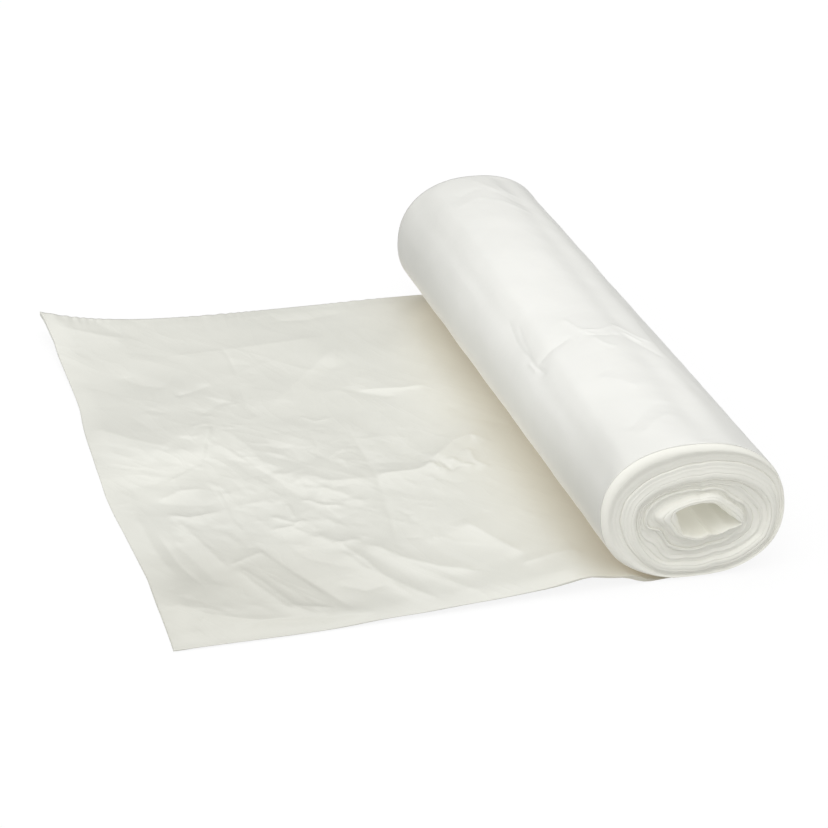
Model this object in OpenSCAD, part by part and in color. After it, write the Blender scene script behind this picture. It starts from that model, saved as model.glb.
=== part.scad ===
// A coreless roll of freezer bags with one bag's length of film lying loose in front of it.
// The bags are one continuous web of flattened film, so the turns and the loose bag are one solid.
// The film leaves the underside of the roll, and the roll rests on it.
// Millimetres. +Y runs along the roll, -X towards the free edge of the loose bag, +Z up.
// The origin is at the middle of the flat spot that the roll rests on.

/* [Film] */
// Width of the film, which is the length of the roll
film_w = 300; // [200:10:450]
// Thickness of the flattened film where it lies loose
film_t = 0.5; // [0.3:0.1:1]

/* [Roll] */
// Width of the roll across its axis
roll_w = 71; // [60:1:100]
// Height of the roll at its near end
near_h = 54; // [48:1:90]
// Height of the roll at its far end
far_h = 59; // [48:1:90]
// How far the top of the near end leans away from the loose bag
near_lean = -2; // [-5:0.5:5]
// How far the top of the far end leans away from the loose bag
far_lean = 1.5; // [-5:0.5:5]
// How square the roll's slumped section is, where 2 is a true ellipse
squareness = 2.25; // [2:0.05:2.8]
// Number of turns, each a bunch of the thin real ones
turns = 8; // [5:1:10]
// Clearance from each turn to the next
turn_gap = 0.35; // [0.2:0.05:0.5]
// How far the innermost turn stands out of the near end
telescope = 4; // [0:0.5:8]
// Width of the flat spot that the roll rests on
rest_w = 16; // [8:1:22]

/* [Core hole] */
// Width of the squashed hole along the middle of the roll
hole_w = 26; // [18:1:32]
// Height of the hole at its blunt end
hole_h = 15; // [10:1:20]
// Height of the hole at its pinched end
pinch_h = 6; // [4:1:10]
// How far the middle of the hole lies past the middle of the roll
hole_x = 4.5; // [0:0.5:8]
// Height of the middle of the hole above the surface
hole_z = 25; // [21:0.5:29]
// Depth of the crimps that the turns have beside the hole
crimp_d = 1.1; // [0:0.1:1.4]

/* [Loose bag] */
// Length of the loose film, from under the roll to its free edge
loose_l = 199; // [120:1:400]
// How much further the far corner reaches than the near corner
edge_slant = 11; // [0:1:20]
// How far the middle of the free edge stands out past its corners
edge_bulge = 0.5; // [0:0.5:6]
// How far the loose film strays sideways by its free edge
stray = 6; // [0:0.5:12]
// Rise of the curled far corner
curl_h = 11; // [0:1:20]
// Distance over which the curl dies away
curl_reach = 34; // [15:1:40]
// Rise of the film where it bows up beside the roll
bow_h = 5; // [1:0.5:6]
// Distance from the middle of the roll to the top of the bow
bow_x = 38; // [34:1:50]
// Length of the bow
bow_l = 19; // [12:1:22]
// Rise of the tallest crease
crease_h = 3.4; // [1:0.1:5]
// Distance from the line of a crease to its foot
crease_reach = 11; // [8:1:16]

/* [Smoothness] */
// Points round one turn
turn_points = 48; // [36:4:60]
// Strips along the loose bag
strips_along = 34; // [24:2:40]
// Strips across the loose bag
strips_across = 44; // [30:2:48]

/* [Hidden] */
// The roll stands on the film under it, with the same clearance as between turns.
seat_z = film_t + turn_gap;
// The section dips this far past the seat before it is flattened, which makes the flat spot.
seat_dip = 0.45;
// Angle round the section at which the outermost turn thins to the film and leaves it.
leave_angle = -55;
// Angles of the stations between there and the flat spot, and how far the film has dropped.
leaving = [[-62, 0.25], [-68, 0.6], [-73, 0.9]];
// The crimps: middle angle, spread and wavelength in degrees.
crimps = [[200, 34, 27], [55, 26, 24]];
// Creases of the loose bag. Each has a start and an end as shares of the bag, from the
// roll (0) to the free edge (1) and from the near edge (-1) to the far edge (1), with its
// rise as a share of the tallest one.
creases = [
  [[0.99, -0.18], [0.78, -0.04], 0.85],
  [[0.78, -0.04], [0.79, 0.15], 0.7],
  [[0.78, -0.04], [0.75, -0.58], 0.8],
  [[0.75, -0.58], [0.62, -0.98], 1],
  [[0.90, -0.36], [0.80, -0.70], 0.6],
  [[0.80, -0.70], [0.68, -0.97], 0.65],
  [[0.74, -0.02], [0.56, -0.40], 0.7],
  [[0.56, -0.40], [0.33, -0.12], 0.55],
  [[0.46, 0.02], [0.50, -0.66], 0.75],
  [[0.63, -0.54], [0.44, -0.82], 0.9],
  [[0.61, -0.64], [0.40, -0.97], 0.6],
  [[0.95, -0.80], [0.58, -0.96], 0.7],
  [[0.98, 0.22], [0.82, 0.03], 0.7],
  [[0.88, 0.52], [0.70, 0.30], 0.6],
  [[0.70, 0.30], [0.45, 0.55], 0.7],
  [[0.99, 0.86], [0.50, 0.70], 0.5],
  [[0.36, 0.28], [0.27, 0.24], 0.6],
  [[0.24, 0.16], [0.12, -0.04], 0.45],
  [[0.66, 0.97], [0.58, 0.62], 0.5],
  [[0.60, -1], [0.30, -1], 0.65]
];

// Eases from 0 to 1 as t runs from 0 to 1.
function ease(t) = let(u = max(0, min(1, t))) u * u * (3 - 2 * u);

// A bell of height 1 that falls away over the distance given.
function bell(d, reach) = exp(-(d / reach) * (d / reach));

// A power that keeps the sign, for rounded squares.
function signed_pow(x, p) = sign(x) * pow(abs(x), p);

// Distance from a point to the line between two points.
function line_distance(p, a, b) =
  let(ab = b - a, t = max(0, min(1, (p - a) * ab / (ab * ab)))) norm(p - a - t * ab);

// The roll's slumped outline at angle a, for an end given as [height, lean]: [x, z].
function roll_outline(a, end) =
  let(
    half_h = (end[0] - seat_z + seat_dip) / 2,
    middle_z = seat_z - seat_dip + half_h,
    up = signed_pow(sin(a), 2 / squareness),
    x = roll_w / 2 * signed_pow(cos(a), 2 / squareness) + end[1] * up
  ) [x, max(seat_z, middle_z + half_h * up)];

// The hole's outline at angle a: blunt towards the loose bag and pinched away from it.
function hole_outline(a) =
  let(
    c = signed_pow(cos(a), 0.8),
    half_h = ((hole_h + pinch_h) - (hole_h - pinch_h) * c) / 4
  ) [hole_x + hole_w / 2 * c, hole_z + half_h * signed_pow(sin(a), 0.8)];

// Depth of the crimps at angle a, in millimetres.
function crimp(a) = crimp_d * sum_list([
  for (c = crimps)
    let(away = (a - c[0]) - 360 * round((a - c[0]) / 360)) bell(away, c[1]) * sin(360 * away / c[2])
]);

function sum_list(v, i = 0) = i < len(v) ? v[i] + sum_list(v, i + 1) : 0;

// A point of the section at angle a, from the hole (share 0) to the outline (share 1).
// The crimps fade out towards the outline.
function section_point(a, share, end) =
  let(
    inner = hole_outline(a),
    outer = roll_outline(a, end),
    depth = norm(outer - inner),
    fade = (1 - share) * (1 - share),
    shifted = share + crimp(a) / depth * fade
  ) inner + shifted * (outer - inner);

// Angle round the section after s turns out from the hole.
function turn_angle(s) = leave_angle + 360 * (turns - s);

// Depth of the wound film at angle a, from the hole to the outline.
function wound_depth(a, end) = norm(roll_outline(a, end) - hole_outline(a));

// Share at which the inner face of the web lies after s turns.
function inner_share(s, end) = s / turns * (1 - film_t / wound_depth(turn_angle(s), end));

// Share at which its outer face lies. The last turn follows the outline and thins to the film.
function outer_share(s, end) =
  min(1, inner_share(s + 1, end) - turn_gap / wound_depth(turn_angle(s), end));

// How far the web has wandered towards the near end after s turns out from the hole.
function wander(s) = telescope * (1 - s / turns);

// The four corners of the web at one station: near inner, near outer, far outer, far inner.
function station(near_in, near_out, far_in, far_out, shift) =
  let(near_y = -film_w / 2 - shift, far_y = film_w / 2 - shift) [
    [near_in[0], near_y, near_in[1]],
    [near_out[0], near_y, near_out[1]],
    [far_out[0], far_y, far_out[1]],
    [far_in[0], far_y, far_in[1]]
  ];

near_end = [near_h, near_lean];
far_end = [far_h, far_lean];

// The wound web, from the hole out to where it leaves the outline.
wound = [
  for (i = [0 : turns * turn_points])
    let(s = i / turn_points, a = turn_angle(s))
    station(
      section_point(a, inner_share(s, near_end), near_end),
      section_point(a, outer_share(s, near_end), near_end),
      section_point(a, inner_share(s, far_end), far_end),
      section_point(a, outer_share(s, far_end), far_end),
      wander(s)
    )
];

// The film on its way down from the outline to the surface, and where it reaches the flat spot.
function dropped(a, end, share, drop) = section_point(a, share, end) - [0, seat_z * drop];
function film_share(a, end) = 1 - film_t / wound_depth(a, end);
under = [
  for (l = leaving)
    station(
      dropped(l[0], near_end, film_share(l[0], near_end), l[1]),
      dropped(l[0], near_end, 1, l[1]),
      dropped(l[0], far_end, film_share(l[0], far_end), l[1]),
      dropped(l[0], far_end, 1, l[1]),
      0
    ),
  station([rest_w / 2, film_t], [rest_w / 2, 0], [rest_w / 2, film_t], [rest_w / 2, 0], 0)
];
ribbon = concat(wound, under);

// Rise of the underside of the loose bag at a place given as shares of the bag.
function crease_rise(u, v) =
  let(
    p = [u * loose_l, v * film_w / 2],
    tents = [
      for (c = creases)
        let(
          a = [c[0][0] * loose_l, c[0][1] * film_w / 2],
          b = [c[1][0] * loose_l, c[1][1] * film_w / 2]
        ) c[2] * max(0, 1 - line_distance(p, a, b) / crease_reach)
    ]
  ) crease_h * max(tents);

function curl_rise(u, v) =
  curl_h * exp(-((1 - u) * loose_l + 1.5 * (1 - v) * film_w / 2) / curl_reach);

function bow_rise(u, v) =
  bow_h * bell(u * loose_l - bow_x, bow_l) * (0.6 - 0.4 * v);

function rise(u, v) =
  let(start = ease((u * loose_l - rest_w / 2) / bow_l))
  start * max(crease_rise(u, v), curl_rise(u, v), bow_rise(u, v));

// A point of the loose bag's underside, raised by a thickness for its upper face.
function loose_point(i, j, thickness) =
  let(
    start = rest_w / 2 / loose_l,
    u = start + (1 - start) * i / strips_along,
    v = 2 * j / strips_across - 1,
    reach = loose_l + ease(u) * (edge_slant / 2 * v + edge_bulge * (1 - v * v))
  ) [-u * reach, v * film_w / 2 - stray * ease(u), rise(u, v) + thickness];

loose_columns = [for (i = [0 : strips_along]) i];
loose_rows = [for (j = [0 : strips_across]) j];
upper = [for (i = loose_columns) for (j = loose_rows) loose_point(i, j, film_t)];
lower = [for (i = loose_columns) for (j = loose_rows) loose_point(i, j, 0)];

// The point list holds the ribbon's stations, then the bag's upper face, then its lower face.
ribbon_points = [for (s = ribbon) for (p = s) p];
upper_start = len(ribbon_points);
lower_start = upper_start + len(upper);
row_points = strips_across + 1;
function on_upper(i, j) = upper_start + i * row_points + j;
function on_lower(i, j) = lower_start + i * row_points + j;

// Faces run clockwise seen from outside. Bent four-sided ones are split from their first corner,
// and the two sides of the web are split the same way, so that they stay the same distance apart.
function halves(q) = [[q[0], q[1], q[2]], [q[0], q[2], q[3]]];
ribbon_faces = [
  for (k = [0 : len(ribbon) - 2])
    let(here = 4 * k, next = 4 * k + 4)
      for (q = [
        [here, here + 1, next + 1, next],
        [here + 1, here + 2, next + 2, next + 1],
        [here + 2, here + 3, next + 3, next + 2],
        [here, next, next + 3, here + 3]
      ])
        for (face = halves(q)) face
];
last = 4 * (len(ribbon) - 1);
inner_end = [3, 2, 1, 0];
// The strip under the roll widens from the ribbon's two edges to the bag's whole row of points.
join_upper = concat([last], [for (j = loose_rows) on_upper(0, j)], [last + 3]);
join_lower = concat(
  [last + 2], [for (j = [strips_across : -1 : 0]) on_lower(0, j)], [last + 1]
);
join_near = [last, last + 1, on_lower(0, 0), on_upper(0, 0)];
join_far = [last + 2, last + 3, on_upper(0, strips_across), on_lower(0, strips_across)];
sheet_faces = [
  for (i = [0 : strips_along - 1])
    for (j = [0 : strips_across - 1])
      for (q = [
        [on_upper(i, j), on_upper(i + 1, j), on_upper(i + 1, j + 1), on_upper(i, j + 1)],
        [on_lower(i, j), on_lower(i, j + 1), on_lower(i + 1, j + 1), on_lower(i + 1, j)]
      ])
        for (face = halves(q)) face
];
edge_faces = [
  for (i = [0 : strips_along - 1])
    let(j = strips_across)
      for (q = [
        [on_upper(i, 0), on_lower(i, 0), on_lower(i + 1, 0), on_upper(i + 1, 0)],
        [on_lower(i, j), on_upper(i, j), on_upper(i + 1, j), on_lower(i + 1, j)]
      ])
        for (face = halves(q)) face
];
free_edge_faces = [
  for (j = [0 : strips_across - 1])
    let(i = strips_along)
      for (face = halves([on_lower(i, j), on_lower(i, j + 1), on_upper(i, j + 1), on_upper(i, j)]))
        face
];

module bag_roll() {
  color([0.90, 0.90, 0.87])
    polyhedron(
      points = concat(ribbon_points, upper, lower),
      faces = concat(
        ribbon_faces, [inner_end, join_upper, join_lower, join_near, join_far],
        sheet_faces, edge_faces, free_edge_faces
      ),
      convexity = 20
    );
}

bag_roll();
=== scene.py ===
import math

import bpy
import numpy as np
from mathutils import Matrix, Vector


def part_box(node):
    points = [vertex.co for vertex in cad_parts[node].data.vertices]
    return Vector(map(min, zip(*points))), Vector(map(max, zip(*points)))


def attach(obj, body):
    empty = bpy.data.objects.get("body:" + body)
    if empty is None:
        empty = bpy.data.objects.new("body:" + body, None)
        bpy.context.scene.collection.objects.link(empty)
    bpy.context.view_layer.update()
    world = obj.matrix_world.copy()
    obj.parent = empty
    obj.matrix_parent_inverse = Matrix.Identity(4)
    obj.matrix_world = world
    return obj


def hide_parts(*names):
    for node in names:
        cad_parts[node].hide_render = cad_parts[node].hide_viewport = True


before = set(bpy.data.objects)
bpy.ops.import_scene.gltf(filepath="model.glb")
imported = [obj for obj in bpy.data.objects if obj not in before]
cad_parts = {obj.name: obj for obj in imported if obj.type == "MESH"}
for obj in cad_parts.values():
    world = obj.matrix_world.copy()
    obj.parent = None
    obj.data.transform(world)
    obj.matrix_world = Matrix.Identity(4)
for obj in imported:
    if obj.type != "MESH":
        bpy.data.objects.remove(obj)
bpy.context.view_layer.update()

bl_info = {
    "name": "Roll of freezer bags",
    "version": (1, 0, 0),
    "blender": (4, 5, 0),
    "location": "View3D > Sidebar > Bag roll",
    "description": "Builds a coreless roll of freezer bags with one bag lying loose in front of it",
    "category": "Add Mesh",
}

MM = 0.001
ROLL_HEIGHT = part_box("bag_roll")[1].z

# Each end of the wound roll lies this far inside the film's width, and the middle of the roll
# lies this far towards its far end, in millimetres.
ROLL_INSET = 1.75
ROLL_SHIFT = 0.75

# The loose bag's start and its mean free edge, in millimetres from the middle of the roll.
LOOSE_START = 6.0
LOOSE_REACH = 199.0


# Settings -------------------------------------------------------------------


class BagRollFilm(bpy.types.PropertyGroup):
    width: bpy.props.FloatProperty(
        name="Film width",
        description="Width of the film, which is the length of the roll",
        default=0.300,
        min=0.2,
        max=0.45,
        unit="LENGTH",
    )
    thickness: bpy.props.FloatProperty(
        name="Film thickness",
        description="Thickness of the flattened bag",
        default=0.00015,
        min=0.0001,
        max=0.001,
        unit="LENGTH",
    )
    colour: bpy.props.FloatVectorProperty(
        name="Film colour",
        description="Milky white of the film where it lies loose",
        subtype="COLOR",
        size=3,
        default=(0.64, 0.64, 0.585),
        min=0.0,
        max=1.0,
    )
    wound_colour: bpy.props.FloatVectorProperty(
        name="Wound colour",
        description="Whiter colour of many turns on top of each other",
        subtype="COLOR",
        size=3,
        default=(0.745, 0.745, 0.712),
        min=0.0,
        max=1.0,
    )
    roughness: bpy.props.FloatProperty(
        name="Roughness",
        description="Roughness of the film's soft gloss",
        default=0.34,
        min=0.1,
        max=0.8,
    )


class BagRollRoll(bpy.types.PropertyGroup):
    width: bpy.props.FloatProperty(
        name="Roll width",
        description="Width of the slumped roll across its axis",
        default=0.071,
        min=0.05,
        max=0.1,
        unit="LENGTH",
    )
    near_height: bpy.props.FloatProperty(
        name="Near height",
        description="Height of the roll at its near end",
        default=0.054,
        min=0.04,
        max=0.09,
        unit="LENGTH",
    )
    far_height: bpy.props.FloatProperty(
        name="Far height",
        description="Height of the roll at its far end",
        default=ROLL_HEIGHT,
        min=0.04,
        max=0.09,
        unit="LENGTH",
    )
    squareness: bpy.props.FloatProperty(
        name="Squareness",
        description="How square the slumped section is, where 2 is a true ellipse",
        default=2.25,
        min=2.0,
        max=2.8,
    )
    turns: bpy.props.IntProperty(
        name="Turns",
        description="Number of separate turns that show at the ends",
        default=16,
        min=8,
        max=24,
    )


class BagRollLooseBag(bpy.types.PropertyGroup):
    length: bpy.props.FloatProperty(
        name="Loose length",
        description="Length of the loose bag, from the middle of the roll to its free edge",
        default=0.199,
        min=0.12,
        max=0.4,
        unit="LENGTH",
    )
    curl: bpy.props.FloatProperty(
        name="Corner curl",
        description="Rise of the far corner",
        default=0.011,
        min=0.0,
        max=0.02,
        unit="LENGTH",
    )
    crease: bpy.props.FloatProperty(
        name="Crease height",
        description="Scale of all the creases",
        default=0.6,
        min=0.0,
        max=2.0,
    )
    seed: bpy.props.IntProperty(
        name="Crinkle seed",
        description="Seed of the fine crinkles between the main creases",
        default=7,
        min=0,
        max=999,
    )


class BagRollStudio(bpy.types.PropertyGroup):
    key_power: bpy.props.FloatProperty(
        name="Key light",
        description="Power of the large soft light above and behind the roll",
        default=11.0,
        min=0.0,
        max=100.0,
        unit="POWER",
    )
    sky: bpy.props.FloatProperty(
        name="Surroundings",
        description="Brightness of the pale studio all round the object",
        default=0.30,
        min=0.0,
        max=2.0,
    )
    front: bpy.props.FloatProperty(
        name="Side fill",
        description="Extra brightness of the studio to the left and in front",
        default=0.55,
        min=0.0,
        max=2.0,
    )
    glow: bpy.props.FloatProperty(
        name="Overhead glow",
        description="Extra brightness of the studio above the object",
        default=1.9,
        min=0.0,
        max=5.0,
    )


def settings():
    scene = bpy.context.scene
    return scene.bag_roll_film, scene.bag_roll_roll, scene.bag_roll_loose, scene.bag_roll_studio


# Shapes ---------------------------------------------------------------------


def ease(t):
    """Eases from 0 to 1 as t runs from 0 to 1."""
    t = np.clip(t, 0.0, 1.0)
    return t * t * (3.0 - 2.0 * t)


def signed_power(value, power):
    return np.sign(value) * np.abs(value) ** power


def waves(x, y, seed, count, longest, shortest):
    """Smooth random waves over a surface, about 1 high, from the longest to the shortest."""
    pick = np.random.default_rng(seed)
    total = np.zeros(np.broadcast(x, y).shape)
    weight = 0.0
    for k in range(count):
        length = longest * (shortest / longest) ** (k / max(count - 1, 1))
        turn = pick.uniform(0.0, 2.0 * math.pi)
        shift = pick.uniform(0.0, 2.0 * math.pi)
        size = length / longest
        total += size * np.sin((x * math.cos(turn) + y * math.sin(turn)) * 2.0 * math.pi / length + shift)
        weight += size * size
    return total / math.sqrt(0.5 * weight)


def crease(x, y, points, height, left, right, crest=0.25, taper=0.2):
    """One crease along a line of points. It falls away over left and right of the line as one
    walks along it, and its height fades in and out over the taper at its two ends."""
    points = np.asarray(points, float)
    steps = np.diff(points, axis=0)
    lengths = np.linalg.norm(steps, axis=1)
    before = np.concatenate([[0.0], np.cumsum(lengths)])
    shape = np.zeros(x.shape)
    for k in range(len(steps)):
        dx, dy = steps[k] / lengths[k]
        px, py = x - points[k, 0], y - points[k, 1]
        run = np.clip(px * dx + py * dy, 0.0, lengths[k])
        ox, oy = px - run * dx, py - run * dy
        away = np.hypot(ox, oy)
        side = (oy * dx - ox * dy) / (away + 1e-6)
        along = (before[k] + run) / before[-1]
        fade = ease(along / taper) * ease((1.0 - along) / taper)
        width = right + (left - right) * (0.5 + 0.5 * side)
        shape = np.maximum(shape, (0.1 + 0.9 * fade) * np.exp((crest - np.sqrt(away * away + crest * crest)) / width))
    return height * shape


# Creases of the loose bag: height, width on the left, width on the right, and the line, in
# millimetres. A negative height is a groove.
LOOSE_CREASES = [
    (2.1, 14, 24, [(-204, 33), (-194, 28), (-183, 16), (-169, 5), (-164, 2)]),
    (-2.2, 18, 9, [(-201, -29), (-189, -27), (-178, -25), (-168, -18), (-157, -9)]),
    (1.0, 3, 5, [(-162, 11), (-157, 22), (-151, 25), (-148, 20)]),
    (1.5, 2, 7, [(-149, 24), (-151, 14), (-154, 3), (-157, -9)]),
    (-1.2, 5, 3, [(-156, -6), (-158, -34), (-155, -59), (-150, -80)]),
    (-1.6, 9, 3, [(-152, -76), (-149, -88), (-140, -112), (-131, -131), (-123, -149)]),
    (-1.0, 4, 2, [(-162, -67), (-157, -74), (-153, -87), (-147, -90)]),
    (1.2, 3, 6, [(-163, -97), (-154, -116), (-146, -139), (-137, -149)]),
    (0.9, 3, 4, [(-178, -55), (-171, -76), (-163, -106)]),
    (0.8, 3, 4, [(-181, -42), (-171, -35), (-160, -35)]),
    (0.9, 4, 2, [(-180, -53), (-171, -60), (-158, -55)]),
    (0.8, 1.3, 1.5, [(-141, -64), (-133, -73), (-127, -73)]),
    (0.7, 1.3, 1.5, [(-143, -76), (-134, -76), (-127, -71)]),
    (0.6, 1.2, 1.2, [(-132, -55), (-132, -70)]),
    (0.6, 1.5, 1.5, [(-163, -101), (-154, -95), (-146, -91)]),
    (-1.2, 5, 5, [(-148, -4), (-140, -17), (-133, -30), (-126, -49), (-121, -58)]),
    (0.9, 2, 2, [(-126, -52), (-119, -60), (-110, -63)]),
    (1.1, 6, 6, [(-124, -30), (-111, -41), (-96, -42)]),
    (0.7, 3, 4, [(-119, -44), (-110, -51), (-101, -63)]),
    (-1.1, 3, 1.8, [(-93, 4), (-92, -20), (-92, -40), (-95, -74), (-99, -102)]),
    (1.0, 4, 3, [(-127, -82), (-122, -94), (-110, -92)]),
    (1.6, 8, 4, [(-112, -93), (-100, -111), (-88, -122), (-72, -130)]),
    (1.3, 7, 4, [(-122, -96), (-115, -116), (-107, -128), (-94, -148)]),
    (2.2, 24, 4, [(-194, -118), (-186, -128), (-178, -137), (-160, -145), (-137, -149), (-112, -148)]),
    (-1.3, 2.5, 2.5, [(-86, 50), (-79, 43), (-70, 37), (-64, 35)]),
    (1.0, 6, 2, [(-82, 45), (-72, 44), (-60, 42), (-48, 42)]),
    (-1.95, 5, 3, [(-46, 22), (-39, 6), (-26, -5)]),
    (1.8, 6, 6, [(-94, -37), (-89, -39), (-75, -39), (-66, -36), (-61, -38)]),
    (2.3, 5, 4, [(-68, -34), (-60, -24), (-53, -16), (-45, -12), (-37, -20)]),
    (1.3, 1.6, 1.6, [(-70, -33), (-66, -41), (-62, -40)]),
    (-1.3, 1.4, 1.4, [(-64, -32), (-61, -41), (-55, -36)]),
    (1.1, 1.5, 2, [(-59, -30), (-57, -37), (-50, -40)]),
    (1.5, 3, 3, [(-49, -22), (-50, -35), (-45, -44)]),
    (1.6, 6, 5, [(-71, -85), (-63, -102), (-54, -122)]),
    (0.8, 5, 5, [(-107, -105), (-91, -127), (-79, -147)]),
    (-0.9, 3, 3, [(-159, 56), (-150, 60), (-141, 66)]),
    (-1.5, 6, 2.5, [(-151, 34), (-145, 41), (-137, 48)]),
    (-1.2, 14, 8, [(-178, 86), (-176, 78), (-170, 71), (-158, 65)]),
    (-0.9, 9, 4, [(-202, 160), (-184, 143), (-168, 123)]),
    (0.8, 5, 10, [(-203, 134), (-186, 128), (-168, 122)]),
    (-0.8, 3, 3, [(-155, 151), (-162, 133), (-169, 121)]),
    (1.0, 8, 14, [(-160, 99), (-142, 101), (-121, 103), (-98, 105), (-76, 108)]),
    (-0.9, 7, 5, [(-102, 146), (-97, 131), (-84, 130), (-66, 136)]),
    (-1.6, 8, 8, [(-80, 82), (-86, 71), (-102, 48), (-122, 16)]),
    (1.0, 12, 6, [(-78, 96), (-92, 76), (-107, 57), (-121, 34)]),
    (-0.9, 5, 5, [(-129, 65), (-130, 46), (-127, 26)]),
    (-0.4, 1, 1, [(-129, 106), (-128, 90), (-128, 73)]),
    (1.0, 5, 7, [(-150, 23), (-142, 13), (-137, -2), (-134, -22), (-128, -43)]),
    (0.7, 2, 3, [(-152, 9), (-145, -4), (-137, -25)]),
    (-0.6, 3, 3, [(-128, -123), (-118, -131), (-106, -127)]),
    (0.8, 1.5, 3, [(-148, -137), (-140, -140), (-132, -142)]),
    (0.8, 5, 4, [(-191, -48), (-188, -83), (-183, -108)]),
    (-0.7, 5, 4, [(-181, -74), (-173, -100), (-168, -119)]),
    (-0.5, 2, 2, [(-73, 27), (-82, 5), (-86, -4)]),
    (0.5, 4, 4, [(-72, 118), (-80, 88), (-87, 58)]),
    (-0.6, 3, 3, [(-135, 150), (-131, 141), (-133, 126)]),
    (0.5, 1.2, 1.2, [(-110, 25), (-105, 17), (-97, 20)]),
    (1.2, 8, 5, [(-60, -128), (-45, -126), (-33, -127)]),
    (0.8, 1.2, 1.6, [(-174, -25), (-167, -19), (-158, -12)]),
    (0.5, 1.2, 3.0, [(-161, -75), (-151, -87), (-148, -96), (-140, -115), (-134, -132)]),
    (0.5, 0.9, 2.0, [(-162, -102), (-155, -122), (-148, -140), (-144, -145)]),
    (0.7, 3.0, 1.2, [(-125, -84), (-119, -96), (-113, -111), (-109, -128), (-101, -146)]),
    (-0.9, 1.2, 1.6, [(-152, 9), (-157, -11), (-159, -15)]),
    (0.8, 1.0, 1.8, [(-158, -22), (-156, -47), (-155, -65), (-151, -80)]),
    (0.5, 0.9, 2.4, [(-179, -55), (-171, -59), (-161, -57)]),
    (-0.45, 1.0, 1.6, [(-185, -69), (-181, -95), (-175, -115)]),
    (0.3, 1.0, 2.2, [(-152, -110), (-145, -124), (-138, -141), (-134, -151)]),
    (-0.7, 1.2, 1.6, [(-93, -44), (-94, -62), (-95, -77)]),
]

# Lifts of the near edge of the loose bag: place along the edge, height, and reach along the
# edge and inwards.
EDGE_LIFTS = [(-38, 5.6, 15, 34), (-62, 2.6, 18, 26), (-90, 2.0, 18, 18), (-118, 1.2, 16, 14), (-20, 2.2, 8, 20)]


# Where the bag was handled most, and how far that reaches in x and y, in millimetres.
HANDLED_SPOT = (-126, -38)
HANDLED_REACH = (74, 84)


def crinkles(x, y, seed, count, size):
    """Fine straight creases with sharp crests, thickest where the bag was handled most."""
    pick = np.random.default_rng(seed)
    total = np.zeros(x.shape)
    for _ in range(count):
        spot = (pick.uniform(-204, -25), pick.uniform(-155, 150))
        away = [(spot[k] - HANDLED_SPOT[k]) / HANDLED_REACH[k] for k in range(2)]
        handled = math.exp(-(away[0] ** 2) - away[1] ** 2)
        if pick.uniform() > 0.22 + handled:
            continue
        turn = pick.normal(-1.15, 0.45) if pick.uniform() < 0.62 else pick.uniform(-math.pi, math.pi)
        half = pick.uniform(4, 22) * size
        bend = pick.normal(0.0, 0.16) * half
        step = (math.cos(turn) * half, math.sin(turn) * half)
        line = [
            (spot[0] - step[0], spot[1] - step[1]),
            (spot[0] - step[1] / half * bend, spot[1] + step[0] / half * bend),
            (spot[0] + step[0], spot[1] + step[1]),
        ]
        width = pick.uniform(1.2, 4.5) * size
        lean = pick.uniform(0.35, 1.0)
        height = pick.choice([-1, 1]) * width * pick.uniform(0.05, 0.15) * (0.4 + 0.6 * handled)
        near = (np.abs(x - spot[0]) < half + 9 * width) & (np.abs(y - spot[1]) < half + 9 * width)
        if not near.any():
            continue
        total[near] += crease(x[near], y[near], line, height, width, width * lean, 0.25, 0.35)
    return total


def edge_shift(share):
    """How far the loose bag's edges drift towards the near side, in millimetres."""
    return 7.0 * ease(share) * (0.86 + 0.14 * share)


def free_edge(y):
    """Distance from the middle of the roll to the free edge of the loose bag, in millimetres."""
    place = [-158.0, -130.0, -103.0, -73.0, -30.0, 52.0, 120.0, 138.0, 146.0]
    return np.interp(y, place, [192.6, 193.0, 194.2, 197.0, 200.0, 200.4, 202.8, 205.4, 207.4])


def loose_height(x, y, bag):
    """Height of the loose bag's underside above the surface, in millimetres."""
    rise = 0.8 + 0.4 * waves(x, y, 3, 6, 120, 34)
    for height, left, right, line in LOOSE_CREASES:
        rise += crease(x, y, line, height, left, right)
    rise += 0.8 * crinkles(x, y, bag.seed, 420, 1.0) + 1.5 * crinkles(x, y, bag.seed + 1, 700, 0.5)
    rise *= bag.crease
    # The ground pushes back softly, and the edges lie on it but for a few lifts.
    rise = 0.3 * np.log1p(np.exp(rise / 0.3))
    slant = edge_shift(-x / LOOSE_REACH)
    near, far = y + 150.0 + slant, 150.0 - slant - y
    free = x + free_edge(y)
    rise *= ease((near + 2.0) / 13.0) * ease((far + 3.0) / 12.0) * ease((free + 3.0) / 12.0)
    for place, height, along, inwards in EDGE_LIFTS:
        rise += height * np.exp(-(((x - place) / along) ** 2) - (near / inwards) ** 2)
    rise += 0.6 * np.exp(-np.maximum(near, 0.0) / 6.0) * ease((-x - 120.0) / 40.0)
    pucker = np.sin(x * 1.3 + 3.0 * np.sin(x * 0.17)) * (0.5 + 0.5 * np.sin(x * 0.09))
    rise += 0.16 * (1.0 + pucker) * np.exp(-far / 4.0) * ease((-x - 30.0) / 30.0)
    rise += bag.curl / MM * np.exp(-(np.maximum(free, 0.0) + np.maximum(far, 0.0)) / 31.0)
    return rise * ease((-x - 9) / 16.0)


def roll_outline(angle, y, roll, inset=0.0):
    """The slumped outline of the roll at an angle round it, in millimetres: x and z."""
    share = np.clip((y + 150.0) / 300.0, 0.0, 1.0)
    height = (roll.near_height + (roll.far_height - roll.near_height) * share) / MM
    lean = -2.0 + 3.5 * share
    half = (height - 0.4) / 2.0
    up = signed_power(np.sin(angle), 2.0 / roll.squareness)
    across = signed_power(np.cos(angle), 2.0 / roll.squareness)
    x = (roll.width / MM / 2.0 - inset) * across + lean * up
    z = 0.4 + half + (half - inset) * up
    return x, np.maximum(z, 0.85)


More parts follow.
